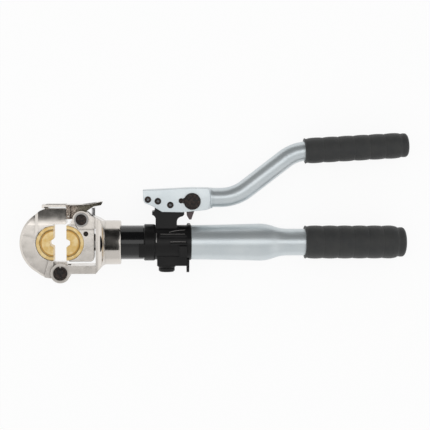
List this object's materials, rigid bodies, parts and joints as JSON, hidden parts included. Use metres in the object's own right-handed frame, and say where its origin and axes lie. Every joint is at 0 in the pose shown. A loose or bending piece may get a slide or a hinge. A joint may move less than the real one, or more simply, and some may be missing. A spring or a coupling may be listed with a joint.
{
  "type": "hydraulic hand crimper",
  "caption": "Hand-pumped hydraulic crimper: flip-top head with half-round dies, swivelling cylinder, tank handle and bent pump lever.",
  "frame": {"origin": "on the crimp axis, where the two die faces meet, in the tool's mid-plane", "axes": "+X along the tool from the head to the grips, +Y from the tank towards the pump lever, +Z along the cable's direction, up when the tool lies on its side"},
  "size_m": [0.5043, 0.1939, 0.0572],
  "materials": {
    "chrome": "satin chrome plate on forged steel",
    "gold_steel": "yellow passivated tool steel",
    "dark_steel": "blackened steel",
    "bright_steel": "ground steel",
    "gloss_black": "gloss black enamel on steel",
    "satin_black": "satin black paint on steel",
    "silver": "satin silver",
    "grip_rubber": "soft moulded rubber",
    "seal_rubber": "smooth rubber",
    "red_brown": "red-brown lacquered steel",
    "bearing_bronze": "turned bronze"
  },
  "bodies": {
    "pump": {"pump_body": "satin_black", "swivel_housing": "satin_black", "swivel_ring": "bright_steel", "valve_cap": "satin_black", "suction_ball": "bright_steel", "suction_spring": "bright_steel", "pump_gland": "dark_steel", "plunger_seal": "seal_rubber", "end_flange": "satin_black", "stem_coil": "bright_steel", "tank_tube": "silver", "tube_plug": "bright_steel", "oil_bladder": "seal_rubber", "suction_tube": "bright_steel", "lower_grip": "grip_rubber"},
    "head": {"head_frame": "chrome", "hinge_pin": "dark_steel", "hinge_snap_rings": "dark_steel", "latch_pin": "dark_steel", "latch_pin_washers": "bright_steel", "latch_spring": "dark_steel", "rod_guide": "bearing_bronze", "cylinder": "gloss_black", "ram_return_spring": "bright_steel"},
    "yoke": {"yoke": "chrome", "yoke_die": "gold_steel", "plunger_screw": "bright_steel", "plunger_spring": "bright_steel"},
    "die_plunger": {"yoke_die_plunger": "dark_steel"},
    "latch": {"latch": "chrome"},
    "ram": {"ram_head": "chrome", "ram_die": "gold_steel", "ram_piston": "bright_steel", "piston_seal": "seal_rubber", "button_spring": "bright_steel"},
    "die_button": {"ram_die_button": "dark_steel"},
    "lever": {"lever_clevis": "silver", "lever_tube": "silver", "pivot_pin": "dark_steel", "cross_pin": "dark_steel", "spacer_pin": "dark_steel", "upper_grip": "grip_rubber"},
    "plunger": {"pump_plunger": "bright_steel"},
    "knob": {"release_knob": "dark_steel", "release_finger": "red_brown"},
    "stem": {"release_stem": "bright_steel"}
  },
  "joints": [
    {"name": "head_swivel", "type": "hinge", "parent": "pump", "child": "head", "pos_m": [0.12, 0, 0], "axis": [1, 0, 0], "range_deg": [-90, 90]},
    {"name": "yoke_swing", "type": "hinge", "parent": "head", "child": "yoke", "pos_m": [0.0088, -0.0385, 0], "axis": [0, 0, 1], "range_deg": [0, 110]},
    {"name": "latch_lift", "type": "hinge", "parent": "head", "child": "latch", "pos_m": [0.03575, 0.0307, 0], "axis": [0, 0, -1], "range_deg": [0, 20], "stiffness_Nm_per_rad": 0.6, "springref_deg": -17.19, "deforming": ["latch_spring"]},
    {"name": "ram_advance", "type": "slide", "parent": "head", "child": "ram", "axis": [-1, 0, 0], "range_m": [0, 0.0165], "stiffness_N_per_m": 1200, "springref_m": -0.01, "deforming": ["ram_return_spring"]},
    {"name": "die_plunger_lift", "type": "slide", "parent": "yoke", "child": "die_plunger", "axis": [-0.279, 0.9603, 0], "range_m": [0, 0.0011], "stiffness_N_per_m": 900, "springref_m": -0.002, "deforming": ["plunger_spring"]},
    {"name": "die_button_press", "type": "slide", "parent": "ram", "child": "die_button", "axis": [0, 0, -1], "range_m": [0, 0.002], "stiffness_N_per_m": 500, "springref_m": -0.001, "deforming": ["button_spring"]},
    {"name": "lever_pump", "type": "hinge", "parent": "pump", "child": "lever", "pos_m": [0.1336, 0.0543, 0], "axis": [0, 0, 1], "range_deg": [-6, 50]},
    {"name": "plunger_stroke", "type": "slide", "parent": "pump", "child": "plunger", "axis": [0, 1, 0], "range_m": [-0.0018, 0.0141]},
    {"name": "knob_turn", "type": "hinge", "parent": "lever", "child": "knob", "pos_m": [0.1776, 0.0543, 0], "axis": [0, 0, 1], "range_deg": [0, 20]},
    {"name": "stem_press", "type": "slide", "parent": "pump", "child": "stem", "axis": [0, -1, 0], "range_m": [0, 0.0015], "stiffness_N_per_m": 800, "springref_m": -0.001, "deforming": ["stem_coil"]}
  ],
  "couplings": [
    {"joint": "plunger_stroke", "follows": "lever_pump", "m_per_rad": 0.01593}
  ]
}
